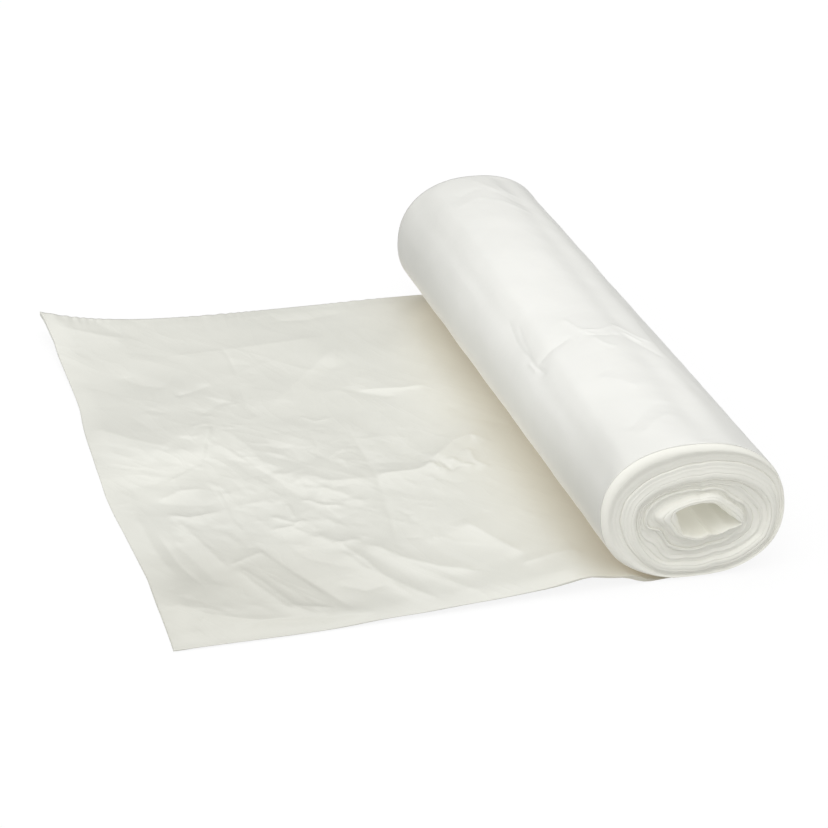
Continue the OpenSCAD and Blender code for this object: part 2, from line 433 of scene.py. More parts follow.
# Meshes ---------------------------------------------------------------------


def mesh_object(name, points, faces, walls=()):
    """An object from points in millimetres, smooth but for the narrow walls at its edges."""
    mesh = bpy.data.meshes.new(name)
    mesh.from_pydata((np.asarray(points, float) * MM).tolist(), [], list(faces) + list(walls))
    for face in mesh.polygons:
        face.use_smooth = face.index < len(faces)
    mesh.update()
    piece = bpy.data.objects.new(name, mesh)
    bpy.context.scene.collection.objects.link(piece)
    return piece


def grid_faces(rows, columns, start=0, flip=False):
    faces = []
    for i in range(rows - 1):
        for j in range(columns - 1):
            a = start + i * columns + j
            quad = (a, a + columns, a + columns + 1, a + 1)
            faces.append(quad[::-1] if flip else quad)
    return faces


def lowest_around(values, step):
    """The lowest value up to a step away, both ways along a grid."""
    rows, columns = values.shape
    wide = np.pad(values, step, mode="edge")
    low = np.min([wide[i : i + rows, :] for i in range(2 * step + 1)], axis=0)
    return np.min([low[:, j : j + columns] for j in range(2 * step + 1)], axis=0)


def backed_sheet(name, front, back, step):
    """A thin closed sheet from a fine grid of points in front and a plainer grid behind it,
    which has one point for every few of the front."""
    rows, columns = front.shape[:2]
    few_rows, few_columns = back.shape[:2]
    count = rows * columns
    points = np.concatenate([front.reshape(-1, 3), back.reshape(-1, 3)])
    faces = grid_faces(rows, columns) + grid_faces(few_rows, few_columns, count, flip=True)
    walls = []
    for i in range(few_rows - 1):
        for j, few_j, turn in ((0, 0, 1), (columns - 1, few_columns - 1, -1)):
            above = [(i * step + k) * columns + j for k in range(step, -1, -1)]
            below = [count + i * few_columns + few_j, count + (i + 1) * few_columns + few_j]
            walls.append((above + below)[::turn])
    for j in range(few_columns - 1):
        for i, few_i, turn in ((0, 0, -1), (rows - 1, few_rows - 1, 1)):
            above = [i * columns + j * step + k for k in range(step, -1, -1)]
            below = [count + few_i * few_columns + j, count + few_i * few_columns + j + 1]
            walls.append((above + below)[::turn])
    return mesh_object(name, points, faces, walls)


def finish_piece(piece, material):
    piece.data.materials.append(material)
    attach(piece, "root")
    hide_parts("bag_roll")


# Materials ------------------------------------------------------------------


def new_group(name, inputs, outputs):
    group = bpy.data.node_groups.new(name, "ShaderNodeTree")
    for label, kind, value in inputs:
        socket = group.interface.new_socket(name=label, in_out="INPUT", socket_type=kind)
        socket.default_value = value
    for label, kind in outputs:
        group.interface.new_socket(name=label, in_out="OUTPUT", socket_type=kind)
    return group, group.nodes.new("NodeGroupInput"), group.nodes.new("NodeGroupOutput")


def film_haze_group():
    """Cloudy changes of whiteness and gloss, as milky film has."""
    if "Film haze" in bpy.data.node_groups:
        return bpy.data.node_groups["Film haze"]
    group, inlet, outlet = new_group(
        "Film haze",
        [
            ("Clear", "NodeSocketColor", (0.7, 0.7, 0.65, 1.0)),
            ("Milky", "NodeSocketColor", (0.8, 0.8, 0.76, 1.0)),
            ("Scale", "NodeSocketFloat", 18.0),
            ("Roughness", "NodeSocketFloat", 0.34),
        ],
        [("Color", "NodeSocketColor"), ("Roughness", "NodeSocketFloat")],
    )
    nodes, links = group.nodes, group.links
    place = nodes.new("ShaderNodeTexCoord")
    cloud = nodes.new("ShaderNodeTexNoise")
    cloud.inputs["Detail"].default_value = 3.0
    links.new(place.outputs["Object"], cloud.inputs["Vector"])
    links.new(inlet.outputs["Scale"], cloud.inputs["Scale"])
    mix = nodes.new("ShaderNodeMix")
    mix.data_type = "RGBA"
    links.new(cloud.outputs["Fac"], mix.inputs["Factor"])
    links.new(inlet.outputs["Clear"], mix.inputs["A"])
    links.new(inlet.outputs["Milky"], mix.inputs["B"])
    links.new(mix.outputs["Result"], outlet.inputs["Color"])
    gloss = nodes.new("ShaderNodeMath")
    gloss.operation = "MULTIPLY_ADD"
    gloss.inputs[1].default_value = 0.08
    links.new(cloud.outputs["Fac"], gloss.inputs[0])
    links.new(inlet.outputs["Roughness"], gloss.inputs[2])
    links.new(gloss.outputs["Value"], outlet.inputs["Roughness"])
    return group


def film_crinkle_group():
    """Height of the finest crinkles: sharp crests drawn out along the creases of the bag."""
    if "Film crinkle" in bpy.data.node_groups:
        return bpy.data.node_groups["Film crinkle"]
    group, inlet, outlet = new_group(
        "Film crinkle",
        [("Scale", "NodeSocketFloat", 30.0)],
        [("Height", "NodeSocketFloat")],
    )
    nodes, links = group.nodes, group.links
    place = nodes.new("ShaderNodeTexCoord")
    stretch = nodes.new("ShaderNodeMapping")
    stretch.vector_type = "TEXTURE"
    stretch.inputs["Rotation"].default_value = (0.0, 0.0, 0.47)
    stretch.inputs["Scale"].default_value = (1.0, 2.4, 1.0)
    links.new(place.outputs["Object"], stretch.inputs["Vector"])
    crests = nodes.new("ShaderNodeTexNoise")
    crests.noise_type = "RIDGED_MULTIFRACTAL"
    crests.inputs["Detail"].default_value = 2.0
    crests.inputs["Offset"].default_value = 1.0
    crests.inputs["Gain"].default_value = 2.0
    crests.inputs["Distortion"].default_value = 0.4
    links.new(stretch.outputs["Vector"], crests.inputs["Vector"])
    links.new(inlet.outputs["Scale"], crests.inputs["Scale"])
    patches = nodes.new("ShaderNodeTexNoise")
    patches.inputs["Scale"].default_value = 14.0
    patches.inputs["Detail"].default_value = 1.0
    links.new(place.outputs["Object"], patches.inputs["Vector"])
    masked = nodes.new("ShaderNodeMath")
    masked.operation = "MULTIPLY"
    links.new(crests.outputs["Fac"], masked.inputs[0])
    links.new(patches.outputs["Fac"], masked.inputs[1])
    links.new(masked.outputs["Value"], outlet.inputs["Height"])
    return group


def place_colour_group():
    """A colour near some place on the object, which fades to another one away from it. Here it carries
    the painted glow, painted shade and painted highlights of the film.
    """
    if "Colour by place" in bpy.data.node_groups:
        return bpy.data.node_groups["Colour by place"]
    group, inlet, outlet = new_group(
        "Colour by place",
        [
            ("Far", "NodeSocketColor", (0.0, 0.0, 0.0, 1.0)),
            ("Near", "NodeSocketColor", (1.0, 0.97, 0.88, 1.0)),
            ("Place", "NodeSocketVector", (0.0, 0.0, 0.0)),
            ("Stretch", "NodeSocketVector", (1.0, 1.0, 1.0)),
            ("Start", "NodeSocketFloat", 0.02),
            ("Full", "NodeSocketFloat", 0.0),
        ],
        [("Color", "NodeSocketColor")],
    )
    nodes, links = group.nodes, group.links
    place = nodes.new("ShaderNodeTexCoord")
    offset = nodes.new("ShaderNodeVectorMath")
    offset.operation = "SUBTRACT"
    links.new(place.outputs["Object"], offset.inputs[0])
    links.new(inlet.outputs["Place"], offset.inputs[1])
    scaled = nodes.new("ShaderNodeVectorMath")
    scaled.operation = "MULTIPLY"
    links.new(offset.outputs["Vector"], scaled.inputs[0])
    links.new(inlet.outputs["Stretch"], scaled.inputs[1])
    away = nodes.new("ShaderNodeVectorMath")
    away.operation = "LENGTH"
    links.new(scaled.outputs["Vector"], away.inputs[0])
    level = nodes.new("ShaderNodeMapRange")
    level.interpolation_type = "SMOOTHSTEP"
    links.new(away.outputs["Value"], level.inputs["Value"])
    links.new(inlet.outputs["Full"], level.inputs["From Min"])
    links.new(inlet.outputs["Start"], level.inputs["From Max"])
    mix = nodes.new("ShaderNodeMix")
    mix.data_type = "RGBA"
    links.new(level.outputs["Result"], mix.inputs["Factor"])
    links.new(inlet.outputs["Near"], mix.inputs["A"])
    links.new(inlet.outputs["Far"], mix.inputs["B"])
    links.new(mix.outputs["Result"], outlet.inputs["Color"])
    return group


BLACK = (0.0, 0.0, 0.0)
WHITE = (1.0, 1.0, 1.0)


def by_place(near, far, place, stretch, start, full):
    """Inputs of the group Colour by place, in metres. The colour near the place is whole
    within full, and the one far from it from start outwards."""
    return {
        "Far": (*far, 1.0),
        "Near": (*near, 1.0),
        "Place": place,
        "Stretch": stretch,
        "Start": start,
        "Full": full,
    }


def place_colour(nodes, values):
    """Adds the group Colour by place to a material, with the inputs given."""
    colour = nodes.new("ShaderNodeGroup")
    colour.node_tree = place_colour_group()
    for label, value in values.items():
        colour.inputs[label].default_value = value
    return colour.outputs["Color"]


def film_material(name, colour, roughness, haze_scale, crinkle_scale, bump, ior, painted_glow, light, painted_shade_and_highlight):
    """Milky polyethylene film with a soft gloss and cloudy changes of whiteness, a painted glow in place of
    light that comes through it, and painted shade and painted highlights at given places."""
    material = bpy.data.materials.new(name)
    material.use_nodes = True
    nodes, links = material.node_tree.nodes, material.node_tree.links
    shader = nodes["Principled BSDF"]
    shader.inputs["IOR"].default_value = ior
    # The emission is a painted glow, in place of light that comes through the film.
    shader.inputs["Emission Strength"].default_value = painted_glow
    haze = nodes.new("ShaderNodeGroup")
    haze.node_tree = film_haze_group()
    clear, milky = 0.92, 1.08
    haze.inputs["Clear"].default_value = [c * clear for c in colour] + [1.0]
    haze.inputs["Milky"].default_value = [c * milky for c in colour] + [1.0]
    haze.inputs["Scale"].default_value = haze_scale
    haze.inputs["Roughness"].default_value = roughness
    white = haze.outputs["Color"]
    # Painted shade and painted highlights multiply the base colour.
    for painted_tint in painted_shade_and_highlight:
        tint = nodes.new("ShaderNodeMix")
        tint.data_type = "RGBA"
        tint.blend_type = "MULTIPLY"
        tint.inputs["Factor"].default_value = 1.0
        links.new(white, tint.inputs["A"])
        links.new(place_colour(nodes, painted_tint), tint.inputs["B"])
        white = tint.outputs["Result"]
    links.new(white, shader.inputs["Base Color"])
    links.new(haze.outputs["Roughness"], shader.inputs["Roughness"])
    # light is the colour of the painted glow, by place.
    links.new(place_colour(nodes, light), shader.inputs["Emission Color"])
    crinkle = nodes.new("ShaderNodeGroup")
    crinkle.node_tree = film_crinkle_group()
    crinkle.inputs["Scale"].default_value = crinkle_scale
    relief = nodes.new("ShaderNodeBump")
    relief.inputs["Strength"].default_value = 1.0
    relief.inputs["Distance"].default_value = bump
    links.new(crinkle.outputs["Height"], relief.inputs["Height"])
    links.new(relief.outputs["Normal"], shader.inputs["Normal"])
    return material


# Pieces ---------------------------------------------------------------------


class BAGROLL_OT_loose_bag(bpy.types.Operator):
    """Lay the outermost bag loose in front of the roll, with its creases"""

    bl_idname = "bag_roll.loose_bag"
    bl_label = "Loose bag"
    bl_options = {"REGISTER", "UNDO"}

    def execute(self, context):
        film, _, bag, _ = settings()
        rows, columns, step = 253, 353, 4
        u = np.linspace(0.0, 1.0, rows)[:, None]
        v = np.linspace(-1.0, 1.0, columns)[None, :]
        gather = ease(1.0 - u / 0.12)
        y = v * (film.width / MM / 2.0 - ROLL_INSET * gather) + ROLL_SHIFT * gather - edge_shift(u)
        reach = free_edge(y[-1:]) + bag.length / MM - LOOSE_REACH
        x = -(LOOSE_START + u * (reach - LOOSE_START))
        edge = ease((np.abs(v) - 0.93) / 0.07)
        y = y + edge * np.sign(v) * 0.25 * waves(x, y * 0.1, 12, 4, 90, 26)
        x = x + ease((u - 0.94) / 0.06) * 0.3 * waves(x * 0.1, y, 13, 4, 110, 26)
        z = loose_height(x, y, bag)
        thick = film.thickness / MM
        upper = np.stack([x, y, z + thick], axis=-1)[::-1]
        lower = upper[::step, ::step].copy()
        under = lowest_around(upper[..., 2], step)[::step, ::step]
        lower[..., 2] = np.maximum(under - thick, 0.0)
        piece = backed_sheet("loose_bag", upper, lower, step)
        material = film_material(
            "Loose film",
            colour=film.colour,
            roughness=film.roughness - 0.08,
            haze_scale=16,
            crinkle_scale=40,
            bump=0.0003,
            ior=1.7,
            painted_glow=0.03,
            # Painted glow near the roll, brownish, in place of light through the film.
            light=by_place((1.0, 0.6, 0.1), BLACK, (0.0, 0.0, 0.0), (1.0, 0.0, 0.0), 0.070, 0.022),
            painted_shade_and_highlight=[
                # Painted shade along the roll, where the bag meets it.
                by_place((0.91, 0.90, 0.87), WHITE, (0.0, 0.0, 0.0), (1.0, 0.0, 0.0), 0.046, 0.031),
                # Painted shade over the near left of the bag.
                by_place((0.89, 0.885, 0.87), WHITE, (-0.172, -0.124, 0.0), (0.7, 1.0, 0.0), 0.062, 0.018),
                # Painted highlight over a patch at the left of the bag.
                by_place((1.09, 1.09, 1.09), WHITE, (-0.182, -0.022, 0.0), (0.8, 1.3, 0.0), 0.038, 0.008),
            ],
        )
        finish_piece(piece, material)
        return {"FINISHED"}


# Wrinkles of the outermost turn: height, widths, and the line as degrees round the roll and
# millimetres along it. The degrees are scaled to millimetres of film before use.
WRAP_CREASES = [
    (-0.9, 3.0, 4.5, [(143, -48), (130, -47), (118, -45), (106, -41)]),
    (-0.9, 2.6, 2.2, [(142, -32), (143, -45), (139, -60)]),
    (0.5, 0.9, 0.9, [(146, -40), (145, -52)]),
    (-0.4, 2, 2, [(137, -3), (143, -21), (144, -38)]),
    (-0.3, 1.5, 1.5, [(133, -12), (138, -26), (140, -38)]),
    (0.45, 1.2, 1.0, [(105, -24), (101, -36), (96, -44), (89, -49)]),
    (0.42, 0.8, 0.9, [(100, -39), (91, -42), (79, -37)]),
    (-0.5, 1.2, 1.6, [(100, -44), (90, -47), (80, -46)]),
    (0.3, 0.8, 1.0, [(96, -46), (93, -54), (88, -60)]),
    (0.4, 0.9, 1.4, [(84, -34), (76, -40), (70, -48), (60, -55)]),
    (0.35, 0.7, 0.8, [(78, -43), (69, -54)]),
    (-0.4, 1.6, 2, [(79, -46), (71, -57), (62, -70)]),
    (0.5, 4, 4, [(58, -10), (61, -60), (47, -110)]),
    (0.35, 1.4, 1.8, [(93, 144), (89, 134), (82, 124)]),
    (0.3, 1.4, 1.8, [(82, 136), (76, 124), (68, 118)]),
    (0.36, 1.5, 2.0, [(91, 116), (80, 105), (69, 97)]),
    (-0.32, 1.6, 2.2, [(86, 126), (76, 113), (66, 107)]),
    (0.3, 1.5, 2.0, [(117, 113), (103, 118), (90, 118)]),
    (-0.4, 2.4, 2.0, [(110, 124), (99, 129), (90, 130)]),
    (-0.5, 4, 3, [(118, -128), (102, -119), (87, -109)]),
    (0.4, 3, 3, [(112, -134), (98, -126), (86, -120)]),
    (0.4, 3, 4, [(112, -80), (100, -88), (92, -99)]),
]


# Millimetres of film per degree round the roll, and the scale of all the wrinkles' heights.
FILM_PER_DEGREE = 0.52
WRAP_HEIGHT = 0.8

# Long soft facets, where the film is pulled straight between the ends: height in millimetres,
# and the middle and reach in degrees round the roll.
WRAP_FACETS = [
    (-0.42, 76, 7), (0.26, 92, 9), (0.24, 62, 6), (-0.50, 146, 8), (0.16, 172, 9), (0.42, 125, 7),
    (-0.16, 44, 6), (0.14, 20, 8), (-0.16, 0, 9),
]


def wrap_relief(angle, y):
    """How far the outermost turn stands out of the outline, in millimetres."""
    degrees = np.degrees(angle)
    relief = np.zeros(np.broadcast(degrees, y).shape)
    span = degrees * FILM_PER_DEGREE + np.zeros_like(relief)
    along = y + np.zeros_like(relief)
    for height, left, right, line in WRAP_CREASES:
        line = [(a * FILM_PER_DEGREE, b) for a, b in line]
        relief += crease(span, along, line, height * WRAP_HEIGHT, left, right, 0.22)
    # The facets wander a little from end to end.
    drift = 5.0 * np.sin(along / 95.0 + 0.6)
    for height, middle, reach in WRAP_FACETS:
        relief += height * np.exp(-(((degrees + drift - middle) / reach) ** 2))
    relief += 0.04 * waves(span * 2.0, along * 0.3, 21, 6, 40, 12)
    relief += 0.06 * waves(span, along, 22, 8, 34, 6)
    return relief


class BAGROLL_OT_outer_wrap(bpy.types.Operator):
    """Wrap the outermost turn of film round the roll, down to where the loose bag leaves it"""

    bl_idname = "bag_roll.outer_wrap"
    bl_label = "Outermost turn"
    bl_options = {"REGISTER", "UNDO"}

    def execute(self, context):
        film, roll, _, _ = settings()
        under_rows, round_rows, columns, step = 26, 215, 331, 3
        half = film.width / MM / 2.0 - ROLL_INSET
        # The grid is finest at the crumple.
        y = np.linspace(0.0, 1.0, columns)[None, :]
        y = np.interp(y, [0.0, 0.2, 0.62, 1.0], [-1.0, -0.55, -0.07, 1.0])
        y = ROLL_SHIFT + y * half
        turn = np.linspace(0.0, 1.0, round_rows)[:, None]
        turn = np.radians(np.interp(turn, [0.0, 0.2, 0.75, 1.0], [-58.0, 55.0, 150.0, 262.0]))
        thick = film.thickness / MM
        x, z = roll_outline(turn, y, roll)
        x2, z2 = roll_outline(turn + 0.01, y, roll)
        nx, nz = (z2 - z), -(x2 - x)
        size = np.hypot(nx, nz) + 1e-9
        nx, nz = nx / size, nz / size
        calm = ease((np.degrees(turn) + 50.0) / 25.0) * ease((255.0 - np.degrees(turn)) / 30.0)
        calm = calm * ease((half - np.abs(y - ROLL_SHIFT)) / 5.0)
        relief = wrap_relief(turn, y) * calm
        relief = relief - 0.9 * ease((np.degrees(turn) - 225.0) / 35.0)
        behind = lowest_around(relief, step) - thick
        ox, oz = x + nx * relief, np.maximum(z + nz * relief, 0.8)
        ix, iz = x + nx * behind, np.maximum(z + nz * behind, 0.9)
        # The film leaves the roll at its lower right and lies flat under it.
        share = np.linspace(0.0, 1.0, under_rows, endpoint=False)[:, None]
        fx = -6.0 + (ox[:1] + 6.0) * share
        rise = np.clip((fx - 8.0) / (ox[:1] - 8.0), 0.0, 1.0)
        fz = (oz[:1] - thick) * rise**1.9
        along = np.zeros((under_rows + round_rows, 1)) + y
        front = np.stack([np.concatenate([fx, ox]), along, np.concatenate([fz, oz])], axis=-1)
        back = np.stack([np.concatenate([fx, ix]), along, np.concatenate([fz + thick, iz])], axis=-1)
        piece = backed_sheet("outer_wrap", front, back[::step, ::step], step)
        material = film_material(
            "Wrapped film",
            colour=film.wound_colour,
            roughness=film.roughness + 0.04,
            haze_scale=14,
            crinkle_scale=34,
            bump=0.0002,
            ior=1.42,
            painted_glow=0.29,
            # Painted glow on the lower left flank, in place of light through the film.
            light=by_place((1.0, 0.90, 0.80), BLACK, (-0.024, 0.0, 0.0), (0.6, 0.0, 1.0), 0.029, 0.004),
            painted_shade_and_highlight=[
                # Painted shade towards the far end.
                by_place((0.85, 0.85, 0.845), WHITE, (-0.035, 0.150, 0.032), (1.0, 0.6, 1.0), 0.085, 0.015),
                # Painted shade at the left of the near end.
                by_place((0.88, 0.88, 0.87), WHITE, (-0.038, -0.150, 0.024), (1.0, 0.5, 1.0), 0.050, 0.012),
            ],
        )
        finish_piece(piece, material)
        return {"FINISHED"}


# Outlines of the near end, from the hole outwards: the share of the way out, and points round it
# as x and z in millimetres.
END_OUTLINES = [
    (0.00, [
        (-7.8, 28.9), (-5.5, 30.1), (-0.8, 31), (4, 31.1), (7.4, 30.4), (9.8, 28.1), (12.2, 25.6),
        (15.2, 23.4), (18, 21.9), (12, 20.6), (4.8, 19.6), (-1.9, 19.3), (-4.2, 19.8), (-5.6, 22.8),
        (-6.8, 26.4),
    ]),
    (0.17, [
        (-15, 27.4), (-12, 29.8), (-5.7, 32.4), (1.4, 33.7), (8.7, 33.5), (11.8, 31.2), (15.4, 28.4),
        (19.4, 24.6), (19.4, 21.6), (14.5, 19.4), (7.3, 17.8), (-2.2, 16.4), (-4.8, 17.6), (-7.8, 19),
        (-11.6, 23.4), (-14.5, 25.8),
    ]),
    (0.34, [
        (-18.6, 25.6), (-18, 29.2), (-15, 32.6), (-10.3, 34.8), (-4.6, 35.6), (2.7, 35.3), (10.8, 34.6),
        (13.2, 31.9), (15.6, 30.2), (19.6, 27.4), (21, 24.4), (21.4, 21), (20.3, 17.4), (15.1, 14.8),
        (6.4, 13), (-3.1, 12), (-9.2, 14.8), (-10.8, 17.6), (-12.4, 20.8), (-14.2, 21.8), (-17.8, 22.6),
    ]),
    (0.48, [
        (-20.6, 25.2), (-19.2, 30.6), (-14.6, 34.4), (-7.3, 36.6), (2.8, 37), (11.6, 36.6), (17.8, 34.4),
        (20.6, 31.4), (23.4, 28), (25.8, 25.2), (26.6, 21), (25.2, 16.2), (20.4, 12.2), (9.5, 9.6),
        (-1.8, 8.6), (-8.4, 8.8), (-11.4, 11.4), (-13.2, 14.8), (-15, 16.4), (-18, 18), (-20, 21),
    ]),
    (0.60, [
        (-22.6, 26.5), (-21.2, 31.8), (-16, 36), (-8.4, 38.4), (1.3, 39.2), (11, 38.9), (19.6, 36.3),
        (26, 31.5), (28.8, 26.4), (29, 20.6), (27, 14.8), (20, 10.2), (9, 7.2), (-3.4, 6.6),
        (-11.6, 8), (-17.2, 12.6), (-21, 19),
    ]),
    (0.72, [
        (-25, 27), (-23.4, 33.6), (-17.4, 38.9), (-8.8, 42), (1.1, 43.2), (11.2, 42.7), (21, 39.6),
        (28.4, 33.9), (31.4, 27.6), (31.8, 20.4), (29.8, 13.2), (23, 7.6), (9, 4), (-3.4, 3.4),
        (-12.8, 5.4), (-19.4, 11), (-23.6, 18.6),
    ]),
    (0.87, [
        (-30.6, 27.6), (-28.8, 35.2), (-21.4, 42.6), (-10.2, 46.8), (1.7, 48.7), (11.3, 48.2), (22.4, 44.9),
        (30.6, 38.4), (33.4, 31.2), (34.2, 24.2), (32.8, 16), (29.4, 9.4), (22.6, 4.6), (9.6, 2.2),
        (-2.6, 1.8), (-13.2, 4.2), (-22, 11.4), (-27.6, 18.6),
    ]),
]
# How far the film stands out of the near end, in millimetres, by the share of the way out.
END_BANDS = [
    (0.0, 3.2), (0.02, 4.0), (0.05, 4.4), (0.11, 4.1), (0.16, 2.9), (0.18, 1.5), (0.2, 0.7), (0.315, 0.5),
    (0.325, 1.6), (0.345, 1.7), (0.36, 0.5), (0.38, 0.2), (0.46, 0.3), (0.475, 1.1), (0.49, 1.1), (0.505, 0.6),
    (0.575, 1.0), (0.595, 1.7), (0.62, 2.3), (0.65, 2.5), (0.69, 2.4), (0.72, 2.2), (0.735, 1.8), (0.75, 2.0),
    (0.76, 1.6), (0.79, 1.6), (0.8, 1.8), (0.81, 1.4), (0.86, 1.3), (0.87, 1.5), (0.9, 1.3), (0.912, 1.6),
    (0.925, 2.1), (0.945, 2.3), (0.965, 2.1), (0.982, 1.6), (1.0, 0.5),
]
# The middle of the near end, as x and z in millimetres.
END_MIDDLE = (3.0, 25.0)
# The groove between two turns: the phase across a turn and the share of the groove's depth.
GROOVE = [(0.0, 1.0), (0.06, 0.4), (0.18, 0.06), (0.5, 0.0), (0.82, 0.04), (0.94, 0.4), (1.0, 1.0)]
# Places along the roll where the section of the turns is set, in millimetres.
LEVELS = (-138.0, -110.0, -60.0, 0.0, 70.0, 140.0)
# The hole, where the group Colour by place puts the painted glow and painted shade of the ends: place,
# stretch, start and full.
HOLE = ((0.003, 0.0, 0.025), (1.0, 0.0, 1.6), 0.0135, 0.0095)
# Tint of the film at the ends, against the outermost turn.
END_TINT = (0.955, 0.95, 0.915)


def around(angles, where, size):
    """Reads a distance that is known at some places round a closed line, at the given angles."""
    where = np.mod(where, 2.0 * math.pi)
    order = np.argsort(where)
    where, size = where[order], size[order]
    where = np.concatenate([where - 2.0 * math.pi, where, where + 2.0 * math.pi])
    return np.interp(angles, where, np.tile(size, 3))


def end_radii(angles):
    """Distance from the middle to each outline of the end at the given angles, in millimetres."""
    table = []
    for share, points in END_OUTLINES:
        px = np.array([p[0] for p in points]) - END_MIDDLE[0]
        pz = np.array([p[1] for p in points]) - END_MIDDLE[1]
        table.append(around(angles, np.arctan2(pz, px), np.hypot(px, pz)))
    return np.array(table)


def outline_radius(angles, y, roll, inset):
    """Distance from the middle to the roll's outline at the given angles."""
    x, z = roll_outline(np.linspace(0.0, 2.0 * math.pi, 720, endpoint=False), y, roll, inset)
    where = np.arctan2(z - END_MIDDLE[1], x - END_MIDDLE[0])
    size = np.hypot(x - END_MIDDLE[0], z - END_MIDDLE[1])
    return around(angles, where, size)


class BAGROLL_OT_wound_turns(bpy.types.Operator):
    """Wind the film inside the roll, from the squashed hole out to the outermost turn"""

    bl_idname = "bag_roll.wound_turns"
    bl_label = "Wound turns"
    bl_options = {"REGISTER", "UNDO"}

    def execute(self, context):
        film, roll, _, _ = settings()
        turns, steps = roll.turns, 150
        shares = np.array([o[0] for o in END_OUTLINES] + [1.0])
        bands = np.array(END_BANDS)
        total = turns * steps + 1
        s = np.arange(total) / steps
        angle = -math.radians(60.0) - 2 * math.pi * (s - turns)
        wrapped = np.mod(angle, 2 * math.pi)
        column = np.arange(total)
        # Each turn steps outwards mostly on the right side, so that the turns lie level with
        # each other round most of the end.
        whole = np.floor(s)
        start = (whole + ease((s - whole - 0.72) / 0.28)) / turns

        def ring(level, phase):
            """Places round the spiral at one level along the roll and one phase across a turn."""
            evenness = ease((-level - 60.0) / 80.0)
            rim = outline_radius(wrapped, level, roll, 0.12 + 1.6 * ease((150.0 - abs(level)) / 14.0))
            table = np.vstack([end_radii(wrapped), rim[None, :]])
            table[:-1] = np.minimum(table[:-1], rim[None, :] - (1.0 - shares[:-1, None]) * 6.0)
            smooth = table[0] + (rim - table[0]) * shares[:, None]
            table = table * evenness + smooth * (1.0 - evenness)
            share = np.clip(start + phase / turns, 0.0, 1.0)
            k = np.clip(np.searchsorted(shares, share, side="right") - 1, 0, len(shares) - 2)
            t = (share - shares[k]) / (shares[k + 1] - shares[k])
            size = table[k, column] * (1 - t) + table[k + 1, column] * t
            return share, END_MIDDLE[0] + size * np.cos(wrapped), END_MIDDLE[1] + size * np.sin(wrapped)

        rows = []
        for phase, groove in GROOVE:
            share, x, z = ring(-150.0, phase)
            stand = np.interp(share, bands[:, 0], bands[:, 1])
            deep = (0.12 + 0.34 * (np.mod(whole, 4) == 1)) * (share < 0.86)
            rows.append((x, -147.5 - stand + deep * groove, z))
        for level in LEVELS:
            share, x, z = ring(level, 0.97)
            rows.append((x, np.full(total, level), z))
        for phase, groove in GROOVE[::-1]:
            share, x, z = ring(150.0, phase)
            stand = 0.25 * np.interp(share, bands[:, 0], bands[:, 1])
            rows.append((x, 148.5 - stand * np.cos(share * 9.0) - 0.6 * groove, z))
        for level in LEVELS[::-1]:
            share, x, z = ring(level, 0.02)
            rows.append((x, np.full(total, level), z))
        section = np.stack([np.stack([x, y, np.maximum(z, 0.9)], axis=-1) for x, y, z in rows], axis=1)
        count = section.shape[1]
        faces = []
        for i in range(total - 1):
            for j in range(count):
                a, b = i * count + j, i * count + (j + 1) % count
                faces.append((a, b, b + count, a + count))
        faces.append(tuple(range(count))[::-1])
        faces.append(tuple(range((total - 1) * count, total * count)))
        piece = mesh_object("wound_turns", section.reshape(-1, 3), faces)
        material = film_material(
            "Wound film",
            colour=[c * tint for c, tint in zip(film.wound_colour, END_TINT)],
            roughness=film.roughness + 0.08,
            haze_scale=40,
            crinkle_scale=60,
            bump=0.0001,
            ior=1.5,
            painted_glow=0.30,
            # Painted glow over the whole end, strongest in the hole, in place of light through the film.
            light=by_place((1.0, 0.98, 0.88), (0.29, 0.285, 0.265), *HOLE),
            # Painted shade in the hole, which with the glow evens out its light.
            painted_shade_and_highlight=[by_place((0.60, 0.60, 0.57), WHITE, *HOLE)],
        )
        finish_piece(piece, material)
        return {"FINISHED"}


# Lobes of brightness in the surroundings: where they lie and how narrow they are.
SIDE_FILL = ((-0.75, -0.6, 0.3), 2.0)
OVERHEAD_GLOW = ((-0.15, -0.25, 0.95), 3.0)
# The long soft light behind the roll.
STRIP_PLACE = Vector((0.25, 2.30, 1.95))
STRIP_AIM = Vector((-0.08, 0.0, 0.0))
STRIP_SIZE = (3.2, 0.9)
# The photograph's viewpoint, with angles in degrees.
CAMERA_PLACE = Vector((-0.2839, -0.8220, 0.3942))
CAMERA_YAW, CAMERA_PITCH, CAMERA_ROLL = 14.835, 24.445, 0.476


